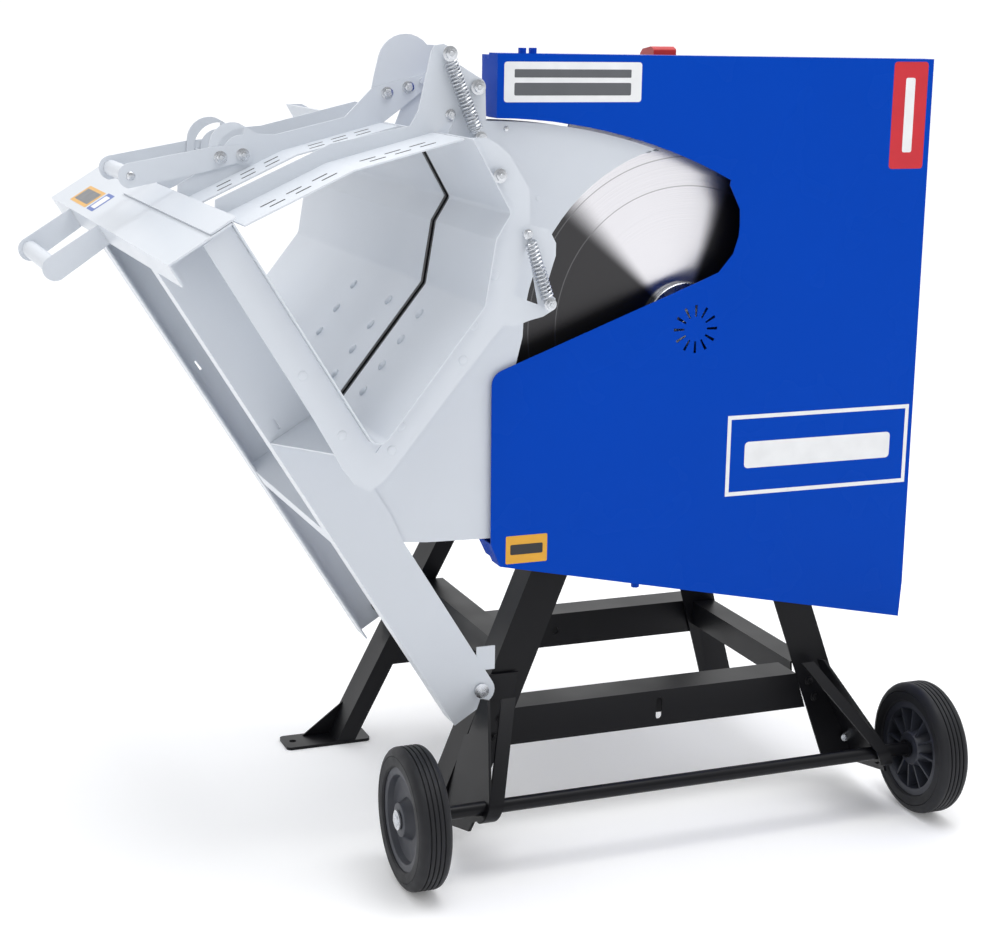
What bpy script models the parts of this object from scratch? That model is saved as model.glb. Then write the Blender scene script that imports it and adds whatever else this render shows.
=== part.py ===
"""Firewood cradle saw: black stand on two wheels, blue guard with a 700 mm blade, tilting log cradle.

Lengths are in millimetres in a measuring frame: X runs along the wheel axle from the left wheel,
Y runs backwards from the axle, Z runs up from the ground. `at` turns them into metres about the
centre of the footprint.
"""
import math

import bmesh
import bpy
from mathutils import Matrix, Vector

MM = 0.001
FIT = 0.3                       # clearance between neighbouring pieces
WELD = 0.00001
MIDDLE = Vector((214.1, 350.0, 0.0))    # centre of the footprint in the measuring frame

# stand
GROUND_LEFT, LEAN_LEFT = 51.0, 0.466
GROUND_RIGHT, LEAN_RIGHT = 796.0, -0.326
GROUND_FRONT, LEAN_FRONT = 112.0, 0.112
GROUND_REAR, LEAN_REAR = 545.0, -0.112
FRONT_LEG_END = 38.0
LEG_TOP = 470.0
STEEL = 3.0
RAIL_TOP, RAIL_HIGH = 190.0, 57.0
AXLE_HEIGHT, AXLE_RADIUS = 100.0, 10.0
WHEEL_RADIUS, WHEEL_WIDE, TRACK = 100.0, 47.0, 816.6

# cradle frame: `across` to the right and `along` up the arms, from the pivot
PIVOT = (143.9, 226.9)
ALONG = Vector((-0.527, 0.0, 0.85)).normalized()
ACROSS = Vector((0.85, 0.0, 0.527)).normalized()
SWEEP = 812.0                   # largest radius about the pivot that passes under the guard
CRADLE_NEAR, CRADLE_FAR = -70.0, 800.0
ARM_FRONT, ARM_REAR = 124.0, 586.3
COVER_FRONT, COVER_REAR = 127.3, 176.7
SLOT_NEAR, SLOT_FAR = 156.0, 178.0
TROUGH = [(-259, 932), (-75, 637), (66, 817), (80, 902), (100, 935), (47, 1028)]
JAW_HINGE = (97.0, 1087.0)
JAW_FRONT, JAW_MIDDLE, JAW_REAR = 48.0, 264.0, 398.0
HANDLE_PIVOT = (-163.0, 987.0)

# blade and guard
BLADE = (466.9, 741.0)
BLADE_RADIUS, BLADE_NEAR, BLADE_THICK, TEETH = 350.0, 164.2, 3.6, 48
GUARD_NEAR, GUARD_JOIN, GUARD_FAR, GUARD_SHEET = 120.0, 152.3, 186.0, 1.5

PAINTS = {
    "blue": ((0.008, 0.045, 0.42), 0.30, 0.0),
    "white": ((0.68, 0.70, 0.70), 0.38, 0.0),
    "black": ((0.018, 0.018, 0.02), 0.45, 0.0),
    "rubber": ((0.02, 0.02, 0.021), 0.80, 0.0),
    "plastic": ((0.03, 0.031, 0.034), 0.50, 0.0),
    "steel": ((0.55, 0.55, 0.55), 0.28, 1.0),
    "zinc": ((0.62, 0.63, 0.64), 0.30, 1.0),
    "red": ((0.55, 0.01, 0.01), 0.40, 0.0),
    "green": ((0.01, 0.30, 0.04), 0.40, 0.0),
}

for old in list(bpy.data.objects):
    bpy.data.objects.remove(old, do_unlink=True)


# ---------------------------------------------------------------- tools

def at(x, y, z):
    """A measured point as a world position in metres."""
    return (Vector((x, y, z)) - MIDDLE) * MM


class Plane:
    """A drawing plane: u and v are its axes, w is the direction of its thickness."""

    def __init__(self, u, v, w, origin=(0, 0, 0)):
        self.u, self.v, self.w, self.origin = Vector(u), Vector(v), Vector(w), Vector(origin)

    def matrix(self, height):
        rows = [list(column) for column in zip(self.u, self.v, self.w)]
        place = at(*(self.origin + self.w * height))
        return Matrix([row + [place[i]] for i, row in enumerate(rows)] + [[0, 0, 0, 1]])


PIVOT_POINT = (PIVOT[0], 0, PIVOT[1])
XZ = Plane((1, 0, 0), (0, 0, 1), (0, 1, 0))
XY = Plane((1, 0, 0), (0, 1, 0), (0, 0, 1))
YZ = Plane((0, 1, 0), (0, 0, 1), (1, 0, 0))
ARM = Plane(ACROSS, ALONG, (0, 1, 0), PIVOT_POINT)
SHELF = Plane(ACROSS, (0, 1, 0), ALONG, PIVOT_POINT)


def on_arm(across, along):
    """A point of the arm's frame as (x, z)."""
    point = Vector(PIVOT_POINT) + ACROSS * across + ALONG * along
    return (point.x, point.z)


def wrap(name, mesh, place=None):
    """Weld a mesh, move it into place, turn its faces outwards and make it an object."""
    work = bmesh.new()
    work.from_mesh(mesh)
    bmesh.ops.remove_doubles(work, verts=work.verts, dist=WELD)
    if place is not None:
        work.transform(place)
    bmesh.ops.recalc_face_normals(work, faces=work.faces)
    if work.calc_volume(signed=True) < 0:
        bmesh.ops.reverse_faces(work, faces=work.faces)
    work.to_mesh(mesh)
    work.free()
    obj = bpy.data.objects.new(name, mesh)
    bpy.context.scene.collection.objects.link(obj)
    return obj


def bake(obj):
    """The mesh that an object's curve or modifiers make; the object is removed."""
    bpy.context.view_layer.update()
    graph = bpy.context.evaluated_depsgraph_get()
    mesh = bpy.data.meshes.new_from_object(obj.evaluated_get(graph))
    mesh.transform(obj.matrix_world)
    bpy.data.objects.remove(obj, do_unlink=True)
    return mesh


def flat(name, outline, low, high, plane=XZ, holes=()):
    """A flat plate from a filled outline, from `low` to `high` along the plane's thickness."""
    low, high = sorted((low, high))
    curve = bpy.data.curves.new(name, "CURVE")
    curve.dimensions = "2D"
    curve.fill_mode = "BOTH"
    curve.extrude = (high - low) / 2 * MM
    for loop in [outline, *holes]:
        spline = curve.splines.new("POLY")
        spline.points.add(len(loop) - 1)
        for point, (u, v) in zip(spline.points, loop):
            point.co = (u * MM, v * MM, 0, 1)
        spline.use_cyclic_u = True
    obj = bpy.data.objects.new(name, curve)
    bpy.context.scene.collection.objects.link(obj)
    return wrap(name, bake(obj), plane.matrix((low + high) / 2))


def box(name, low, high):
    work = bmesh.new()
    size = (Vector(high) - Vector(low)) * MM
    middle = at(*((Vector(low) + Vector(high)) / 2))
    bmesh.ops.create_cube(work, size=1, matrix=Matrix.Translation(middle) @ Matrix.Diagonal((*size, 1)))
    mesh = bpy.data.meshes.new(name)
    work.to_mesh(mesh)
    work.free()
    return wrap(name, mesh)


def rod(name, start, end, radius, sides=32):
    """A round or many-sided bar between two points."""
    start, end = at(*start), at(*end)
    line = end - start
    turn = line.to_track_quat("Z", "Y").to_matrix().to_4x4()
    work = bmesh.new()
    bmesh.ops.create_cone(work, cap_ends=True, segments=sides, radius1=radius * MM, radius2=radius * MM,
                          depth=line.length, matrix=Matrix.Translation((start + end) / 2) @ turn)
    mesh = bpy.data.meshes.new(name)
    work.to_mesh(mesh)
    work.free()
    return wrap(name, mesh)


def turned(name, profile, middle, axis, steps=64):
    """A turned piece: `profile` holds (radius, height) from top to bottom, `axis` is "X" or "Y"."""
    mesh = bpy.data.meshes.new(name)
    closed = min(radius for radius, height in profile) > 0
    edges = [(i, i + 1) for i in range(len(profile) - 1)]
    if closed:
        edges.append((len(profile) - 1, 0))
    mesh.from_pydata([(radius * MM, 0, height * MM) for radius, height in profile], edges, [])
    obj = bpy.data.objects.new(name, mesh)
    bpy.context.scene.collection.objects.link(obj)
    screw = obj.modifiers.new("turn", "SCREW")
    screw.steps = screw.render_steps = steps
    screw.use_merge_vertices = True
    screw.merge_threshold = WELD
    quarter = math.radians(90)
    turn = Matrix.Rotation(quarter, 4, "Y") if axis == "X" else Matrix.Rotation(-quarter, 4, "X")
    return wrap(name, bake(obj), Matrix.Translation(at(*middle)) @ turn)


def wire(name, points, radius, round_steps=0):
    """A bent wire or bar along measured points."""
    curve = bpy.data.curves.new(name, "CURVE")
    curve.dimensions = "3D"
    curve.bevel_depth = radius * MM
    curve.bevel_resolution = round_steps
    curve.use_fill_caps = True
    spline = curve.splines.new("POLY")
    spline.points.add(len(points) - 1)
    for point, place in zip(spline.points, points):
        point.co = (*at(*place), 1)
    obj = bpy.data.objects.new(name, curve)
    bpy.context.scene.collection.objects.link(obj)
    return wrap(name, bake(obj))


def combine(target, tool, operation):
    """Join, cut or trim `target` with `tool`, which is used up."""
    change = target.modifiers.new("change", "BOOLEAN")
    change.operation = operation
    change.solver = "EXACT"
    change.object = tool
    name = target.name
    target.name = name + "_before"
    mesh = bake(target)
    bpy.data.objects.remove(tool, do_unlink=True)
    return wrap(name, mesh)


def join(target, *tools):
    for tool in tools:
        target = combine(target, tool, "UNION")
    return target


def cut(target, *tools):
    for tool in tools:
        target = combine(target, tool, "DIFFERENCE")
    return target


def circle(middle, radius, steps=32):
    turn = 2 * math.pi / steps
    return [(middle[0] + radius * math.cos(i * turn), middle[1] + radius * math.sin(i * turn)) for i in range(steps)]


def arc(middle, radius, start, end, steps):
    """Points of an arc, in degrees from the first axis towards the second."""
    angles = [math.radians(start + (end - start) * i / steps) for i in range(steps + 1)]
    return [(middle[0] + radius * math.cos(a), middle[1] + radius * math.sin(a)) for a in angles]


def fillet(points, radius, steps=5, corners=None, closed=True):
    """Round the corners of an outline; `corners` may give some corners their own radius."""
    out = []
    count = len(points)
    for i, point in enumerate(points):
        size = (corners or {}).get(i, radius)
        if size <= 0 or (not closed and i in (0, count - 1)):
            out.append(tuple(point))
            continue
        here = Vector(point)
        before = (Vector(points[i - 1]) - here)
        after = (Vector(points[(i + 1) % count]) - here)
        half = before.angle(after) / 2
        reach = min(size / math.tan(half), before.length * 0.49, after.length * 0.49)
        size = reach * math.tan(half)
        middle = here + (before.normalized() + after.normalized()).normalized() * (size / math.sin(half))
        first, last = here + before.normalized() * reach - middle, here + after.normalized() * reach - middle
        turn = first.angle_signed(last)
        for k in range(steps + 1):
            spoke = Matrix.Rotation(-turn * k / steps, 2) @ first
            out.append(tuple(middle + spoke))
    return out


def beside(points, distance):
    """An open path shifted to its right by `distance`, with mitred corners."""
    points = [Vector(p) for p in points]
    shifted = []
    for i, point in enumerate(points):
        steps = []
        if i > 0:
            steps.append((point - points[i - 1]).normalized())
        if i < len(points) - 1:
            steps.append((points[i + 1] - point).normalized())
        sides = [Vector((step.y, -step.x)) for step in steps]
        side = sum(sides, Vector((0, 0))).normalized()
        shifted.append(tuple(point + side * (distance / side.dot(sides[0]))))
    return shifted


def folded(points, thick):
    """The cross-section of sheet that follows a path, with its thickness on the path's right."""
    return list(points) + beside(points, thick)[::-1]


def coil(name, start, end, radius, wire_radius, turns, lead):
    """A tension spring between two points: straight leads, then close turns."""
    start, end = Vector(start), Vector(end)
    axis = (end - start).normalized()
    side = Vector((0, 1, 0))
    other = axis.cross(side)
    length = (end - start).length - 2 * lead
    per_turn = 8
    points = [start]
    for i in range(turns * per_turn + 1):
        a = 2 * math.pi * i / per_turn
        middle = start + axis * (lead + length * i / (turns * per_turn))
        points.append(middle + (side * math.cos(a) + other * math.sin(a)) * radius)
    points.append(end)
    return wire(name, [tuple(p) for p in points], wire_radius)


def sheared(obj, slope_x, slope_y):
    """Lean a piece: X and Y move with the height."""
    lean = Matrix.Identity(4)
    lean[0][2], lean[1][2] = slope_x, slope_y
    obj.data.transform(lean)
    return obj


# ---------------------------------------------------------------- stand

def leg(name, side, end):
    """An angle-section leg leaning in two directions; the rear ones stand on foot plates."""
    left, front = side == "left", end == "front"
    x0, lean_x, inward_x = (GROUND_LEFT, LEAN_LEFT, 1) if left else (GROUND_RIGHT, LEAN_RIGHT, -1)
    y0, lean_y = (GROUND_FRONT, LEAN_FRONT) if front else (GROUND_REAR, LEAN_REAR)
    web = 53.0 if front else 60.0
    flange = 62.0 if front else (32.0 if left else 60.0)
    section = [(0, 0), (flange, 0), (flange, STEEL), (STEEL, STEEL), (STEEL, web), (0, web)]
    outline = [(x0 + inward_x * u, y0 + v) for u, v in section]
    post = sheared(flat(name, outline, 0, LEG_TOP, XY), lean_x, lean_y)
    foot_thick = 5.0
    low = FRONT_LEG_END if front else 2
    post = cut(post, box("below", (x0 - 200, y0 - 200, -10), (x0 + 200, y0 + 200, low)))
    if not front:
        outer, inner, near = (-30, 112, y0 - 1) if left else (846, 735, y0 - 1)
        plate = fillet([(outer, near), (inner, near), (inner, near + 56), (outer, near + 56)], 8)
        hole_x = outer + (16 if left else -16)
        foot = flat("foot", plate, 0, foot_thick, XY, [circle((hole_x, near + 28), 6)])
        post = join(post, foot)
        reach = x0 - inward_x * 45
        rib = [(reach, foot_thick - 1), (x0 + inward_x * 2, foot_thick - 1), (x0 + inward_x * 2 + lean_x * 60, 60)]
        post = join(post, flat("rib", rib, y0 + 44, y0 + 47))
    if front:
        clear = [(100, 430), (169 - 4, 411 - 4), (391, 364 - 4), (842, 270 - 4), (900, 250), (900, 1200), (100, 1200)]
        post = cut(post, flat("guard_room", clear, 90, GUARD_FAR + 5.2))
    return post


def channel_rail(name, near, deep, ends, slot):
    """An inverted channel between two legs; `ends` gives (x at the ground, lean) for each end."""
    top, low = RAIL_TOP, RAIL_TOP - RAIL_HIGH
    section = [(near, low), (near, top), (near + deep, top), (near + deep, low),
               (near + deep - STEEL, low), (near + deep - STEEL, top - STEEL),
               (near + STEEL, top - STEEL), (near + STEEL, low)]
    rail = flat(name, section, -50, 900, YZ)
    (x0, lean0), (x1, lean1) = ends
    trim = [(x0 + lean0 * (low - 5), low - 5), (x1 + lean1 * (low - 5), low - 5),
            (x1 + lean1 * (top + 5), top + 5), (x0 + lean0 * (top + 5), top + 5)]
    rail = combine(rail, flat("trim", trim, near - 50, near + deep + 50), "INTERSECT")
    middle = (x0 + x1 + (lean0 + lean1) * top) / 2
    opening = fillet([(middle - slot[0], 161 - slot[1]), (middle + slot[0], 161 - slot[1]),
                      (middle + slot[0], 161 + slot[1]), (middle - slot[0], 161 + slot[1])], slot[0] * 0.98)
    return cut(rail, flat("slot", opening, near - 10, near + STEEL + 10))


def side_rail(name, near_x, wide, top, high):
    """An angle between the front and rear legs of one side."""
    section = [(near_x, top), (near_x + wide, top), (near_x + wide, top - STEEL),
               (near_x + STEEL, top - STEEL), (near_x + STEEL, top - high), (near_x, top - high)]
    front = GROUND_FRONT + 53 + FIT
    ends = [(front + LEAN_FRONT * (top - high), top - high), (GROUND_REAR - FIT + LEAN_REAR * (top - high), top - high),
            (GROUND_REAR - FIT + LEAN_REAR * top, top), (front + LEAN_FRONT * top, top)]
    rail = flat(name, section, 0, 800, Plane((1, 0, 0), (0, 0, 1), (0, 1, 0)))
    return combine(rail, flat("trim", ends, near_x - 10, near_x + wide + 10, YZ), "INTERSECT")


def axle_bracket(name, side):
    """Folded bracket from a front leg to the axle: a wide face and a flange that narrows downwards."""
    left = side == "left"
    face, lean, inward = (100.0, 0.347, 1) if left else (753.3, -0.445, -1)
    top_wide, low_wide = 43, 22
    nose, inner_nose = (arc((0, AXLE_HEIGHT), radius, 150, 280, 8) for radius in (21, 20.2))
    outline = [(117, 165), (117, 216), (93, 221.6)] + inner_nose
    outline += [(14, 74), (17, 60), (111, 38), (116, 50), (129.0, 160)]
    plate = flat("face", outline, 0, inward * 4, YZ, [circle((0, AXLE_HEIGHT), AXLE_RADIUS + FIT, 24)])
    lip = flat("lip", folded([(92, 222)] + nose, -3.5), inward * 0.5, inward * low_wide, YZ)
    for vertex in lip.data.vertices:
        if abs(vertex.co.x) > low_wide / 2 * MM:
            share = (vertex.co.z / MM - nose[0][1]) / (222 - nose[0][1])
            vertex.co.x += inward * (top_wide - low_wide) * max(0, share) * MM
    bracket = join(lip, plate)
    bracket.name = name
    bracket.data.transform(Matrix.Translation((face * MM, 0, -AXLE_HEIGHT * MM)))
    sheared(bracket, lean, 0)
    bracket.data.transform(Matrix.Translation((0, 0, AXLE_HEIGHT * MM)))
    return bracket


def pivot_lug(name, near, far):
    """Plate on a left leg that carries the cradle's shaft."""
    ring = arc(PIVOT, 19, 90, 270, 10)
    outline = ring + [(196, PIVOT[1] - 19), (205, PIVOT[1] + 19)]
    return flat(name, outline, near, far, XZ, [circle(PIVOT, 8 + FIT, 24)])


def motor_mount():
    """Upright plate behind the guard and a shelf across the four leg tops."""
    outline = [(225, 472), (655, 472), (655, 880), (555, 880), (550, 835), (480, 795), (225, 700)]
    upright = flat("motor_mount", fillet(outline, 12, 4, {0: 0, 1: 0}), 186.3, 190.3, XZ,
                   [circle(BLADE, 46, 32)])
    shelf = box("shelf", (225, 186.3, 470.3), (655, 552, 474.3))
    mount = join(upright, shelf)
    for x in (225, 651):
        gusset = [(188, 472), (480, 472), (188, 640)]
        mount = join(mount, flat("gusset", gusset, x, x + 4, YZ))
    return mount


def axle():
    cap, end = 14, WHEEL_WIDE / 2
    outer = end + FIT
    left = [(0, -outer - 6), (8, -outer - 6), (cap, -outer - 3), (cap, -outer), (AXLE_RADIUS, -outer),
            (AXLE_RADIUS, outer), (cap, outer), (cap, outer + 3), (AXLE_RADIUS, outer + 3)]
    right = [(radius, TRACK - height) for radius, height in left[::-1]]
    return turned("axle", left + right, (0, 0, AXLE_HEIGHT), "X", 24)


def wheel(side):
    """Plastic rim with ribs on its inner side, and a rubber tyre with tread grooves."""
    x, outward = (0.0, -1) if side == "left" else (TRACK, 1)
    bore, half = AXLE_RADIUS + FIT, WHEEL_WIDE / 2
    rim = [(bore, half - 1), (23, half - 1), (25, half - 8), (34, 7), (58, 9), (62, half - 4), (71.7, half - 4),
           (71.7, -half + 4), (62, -half + 4), (58, 2), (34, 1), (25, -half + 3), (bore, -half + 3)]
    body = turned(f"rim_{side}", [(r, h * outward) for r, h in rim], (x, 0, AXLE_HEIGHT), "X", 44)
    ribs = bmesh.new()
    count = 12
    for i in range(count):
        a = 2 * math.pi * i / count
        spoke = Matrix.Rotation(a, 4, "X") @ Matrix.Translation((0, 0, 43.5 * MM))
        place = Matrix.Translation(at(x - outward * 7, 0, AXLE_HEIGHT)) @ spoke
        bmesh.ops.create_cube(ribs, size=1, matrix=place @ Matrix.Diagonal((20 * MM, 3.2 * MM, 41 * MM, 1)))
    mesh = bpy.data.meshes.new("ribs")
    ribs.to_mesh(mesh)
    ribs.free()
    body = join(body, wrap("ribs", mesh))
    tread = [(72, half - 3), (74, half), (88, half), (94, half - 2), (98.5, half - 7)]
    for height in (10, 0, -10):
        tread += [(100, height + 4), (100, height + 2), (98, height + 1), (98, height - 1), (100, height - 2)]
    tread += [(100, -half + 8.5), (98.5, -half + 7), (94, -half + 2), (88, -half), (74, -half), (72, -half + 3)]
    tyre = turned(f"tyre_{side}", tread, (x, 0, AXLE_HEIGHT), "X", 44)
    return body, tyre


# ---------------------------------------------------------------- guard, motor and controls

def window_edge():
    """The guard's opening, from its lower left end round to its upper left end."""
    lower = fillet([(152, 655), (152, 690), (476, 812)], 22, 5, {2: 0}, closed=False)
    round_end = [(501, 822), (523, 848), (531, 873), (532, 889), (531, 912), (513, 947)]
    sweep = arc(PIVOT, SWEEP + 4, 63, 89.4, 14)
    return lower + round_end + sweep + [(153, sweep[-1][1])]


def guard_outline():
    return [(153, 1129), (842, 1125), (845, 326), (842, 270), (391, 364), (169, 411), (154, 445)] + window_edge()


def guard_front():
    slots = []
    for i in range(12):
        a = math.radians(30 * i)
        along, side = Vector((math.cos(a), math.sin(a))), Vector((-math.sin(a), math.cos(a)))
        inner, outer = Vector(BLADE) + along * 18, Vector(BLADE) + along * 35
        slots.append([tuple(p) for p in (inner - side * 1.4, outer - side * 2.2, outer + side * 2.2, inner + side * 1.4)])
    plate = flat("guard_front", guard_outline(), GUARD_NEAR, GUARD_NEAR + GUARD_SHEET, XZ, slots)
    rim = [(153, window_edge()[-1][1]), (153, 1129), (842, 1125), (845, 326), (842, 270), (391, 364), (169, 411), (154, 445)]
    wall = flat("wall", folded(rim, GUARD_SHEET), GUARD_NEAR + 0.5, GUARD_JOIN - FIT)
    guard = join(plate, wall)
    for x, y in ((195, 136), (212, 140)):
        guard = join(guard, rod("bolt", (x, y, 1127.5), (x, y, 1136), 5.5, 6))
    return join(guard, rod("bolt", (391, 136, 356), (391, 136, 365), 6, 6))


def guard_rear():
    step = 3.0
    rim = [(153 + step, window_edge()[-1][1]), (153 + step, 1129 - step), (842 - step, 1125 - step), (845 - step, 326),
           (842 - step, 270 + step), (391, 364 + step), (169 + step, 411 + step), (154 + step, 445)]
    opening = window_edge()
    plate = flat("guard_rear", rim[1:] + [(157, 655)] + opening[1:-1] + [(157, opening[-1][1])],
                 GUARD_FAR - GUARD_SHEET, GUARD_FAR, XZ, [circle(BLADE, 32, 32)])
    wall = flat("wall", folded(rim, GUARD_SHEET), GUARD_JOIN, GUARD_FAR - 0.5)
    return join(plate, wall)


def saw_blade():
    """Toothed disc: each tooth has a steep front and a round gullet behind it."""
    pitch = 2 * math.pi / TEETH
    tooth = [(0.0, BLADE_RADIUS), (0.32, BLADE_RADIUS - 3), (0.62, BLADE_RADIUS - 11),
             (0.80, BLADE_RADIUS - 15), (0.93, BLADE_RADIUS - 12), (0.985, BLADE_RADIUS - 5)]
    outline = []
    for i in range(TEETH):
        for share, radius in tooth:
            a = pitch * (i + share)
            outline.append((BLADE[0] + radius * math.cos(a), BLADE[1] + radius * math.sin(a)))
    return flat("saw_blade", outline, BLADE_NEAR, BLADE_NEAR + BLADE_THICK, XZ, [circle(BLADE, 15 + FIT, 32)])


def spindle():
    """Arbor with its inner flange, running back into the motor."""
    blade_far = BLADE_NEAR + BLADE_THICK + FIT
    step = BLADE_NEAR - FIT
    profile = [(0, step - 20), (11, step - 20), (12, step - 19), (12, step), (15, step), (15, blade_far),
               (63, blade_far), (63, 174), (58, 176), (20, 176), (20, 196), (0, 196)]
    return turned("spindle", profile[::-1], (BLADE[0], 0, BLADE[1]), "Y", 32)


def motor():
    """Flange motor: finned housing on the mount plate, with a fan cover at its rear."""
    x, z = BLADE
    profile = [(0, 196.6), (22, 196.6), (22, 190.8), (84, 190.8), (84, 202), (76, 208), (76, 400), (0, 400)]
    housing = turned("motor_housing", profile[::-1], (x, 0, z), "Y", 40)
    fins = bmesh.new()
    count = 28
    for i in range(count):
        turn = Matrix.Rotation(2 * math.pi * i / count, 4, "Y") @ Matrix.Translation((0, 0, 78.5 * MM))
        place = Matrix.Translation(at(x, 302, z)) @ turn
        bmesh.ops.create_cube(fins, size=1, matrix=place @ Matrix.Diagonal((2.6 * MM, 190 * MM, 13 * MM, 1)))
    mesh = bpy.data.meshes.new("fins")
    fins.to_mesh(mesh)
    fins.free()
    housing = join(housing, wrap("fins", mesh))
    cover = [(0, 462), (60, 462), (78, 456), (86.5, 442), (86.5, 404), (84, 404), (84, 440), (76, 453),
             (58, 459), (0, 459)]
    shell = turned("fan_cover", cover, (x, 0, z), "Y", 48)
    hub = rod("hub", (x, 400.6, z), (x, 460, z), 14, 24)
    disc = rod("disc", (x, 400.6, z), (x, 405.5, z), 85, 48)
    return housing, join(shell, disc, hub)


def controls():
    """Switch box behind the guard, with a start button, a stop flap and an inlet plug."""
    case = fillet([(400, 1012), (480, 1012), (480, 1118), (400, 1118)], 7)
    body = flat("switch_box", case, GUARD_FAR + FIT, 250)
    body = cut(body, rod("well", (412, 220, 1107), (412, 220, 1130), 7.4, 24))
    button = rod("start_button", (412, 220, 1111.5), (412, 220, 1122.5), 7, 24)
    cap = fillet([(203, 1118.4), (248, 1118.4), (248, 1127), (240, 1134), (212, 1138), (203, 1134)], 3, 3, {0: 0, 1: 0})
    flap = flat("stop_flap", cap, 425, 461, YZ)
    ring = [(0, 524), (16, 524), (19, 520), (19, 496), (23, 494), (23, 480 + FIT), (0, 480 + FIT)]
    plug = turned("inlet", ring, (0, 218, 1062), "X", 32)
    plug = cut(plug, rod("socket", (502, 218, 1062), (530, 218, 1062), 15, 24))
    return body, button, flap, plug


# ---------------------------------------------------------------- cradle

def trough(name, near, far):
    """Bent sheet that the log lies in; its two halves leave a slot for the blade."""
    path = fillet(TROUGH, 8, 4, {1: 14, 2: 14}, closed=False)
    return flat(name, folded(path, 2.0), near, far)


def arm(name, web_near, flange_sign):
    """Long side plate from the pivot to the top plate, with a flange along its left edge."""
    web = 3.0
    near, far = web_near, web_near + web
    bottom = arc((0, 0), 21, -90, 0, 6)
    outline = [(-60, -21)] + bottom + [(21, 262), (26.5, 300), (26.5, 809.7), (-60, 809.7)]
    plate = flat(name, outline, near, far, ARM, [circle((0, 0), 8 + FIT, 24)])
    edges = (far - 1, near + 45) if flange_sign > 0 else (far - 45, near + 1)
    strip = [(-59.8, -20.6), (-57, -20.6), (-57, 775), (-59.8, 775)]
    slot = [(-40, 500), (-36, 500), (-36, 517), (-40, 517)]
    plate = join(plate, flat("flange", strip, edges[0], edges[1], ARM))
    return cut(plate, flat("slot", slot, near - 5, far + 5, ARM))


def blade_cover(name, near, hollow, top_end, hollow_start):
    """Sheet beside the blade; `hollow` is the radius of its edge about the blade's centre."""
    under = beside(TROUGH, 2.0 + FIT)
    top = arc(PIVOT, SWEEP, 96.5, top_end, 12)
    inside = arc(BLADE, hollow, hollow_start, 180, 16)
    right = inside[-1][0] - 10
    outline = [on_arm(20, 260), on_arm(20, 450)] + under[1:] + top + inside + [(right, 700), (right, 452), (60, 455)]
    return flat(name, outline, near, near + 2)


def end_frame(name, near):
    """Plate closing one end of the cradle round the trough."""
    around = beside(TROUGH, 2.0 + FIT)
    around[0] = on_arm(26.5, 808.5)
    outer = [(-294, 904), (-162, 690), (-127, 629), (-119, 614), (-103, 593), (-83, 582), (-63, 597), (95, 790),
             (113, 788), (134, 795), (152, 799), (168, 808), (169, 822), (156, 833), (158, 846), (168, 878), (168, 894), (158, 912), (131, 918),
             (130, 963), (102, 1007), (84, 1022), (70, 1029)]
    hole = [(128, 897), (110, 828), (145, 815)]
    return flat(name, outer + around[::-1], near, near + 2.5, XZ, [hole])


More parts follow.
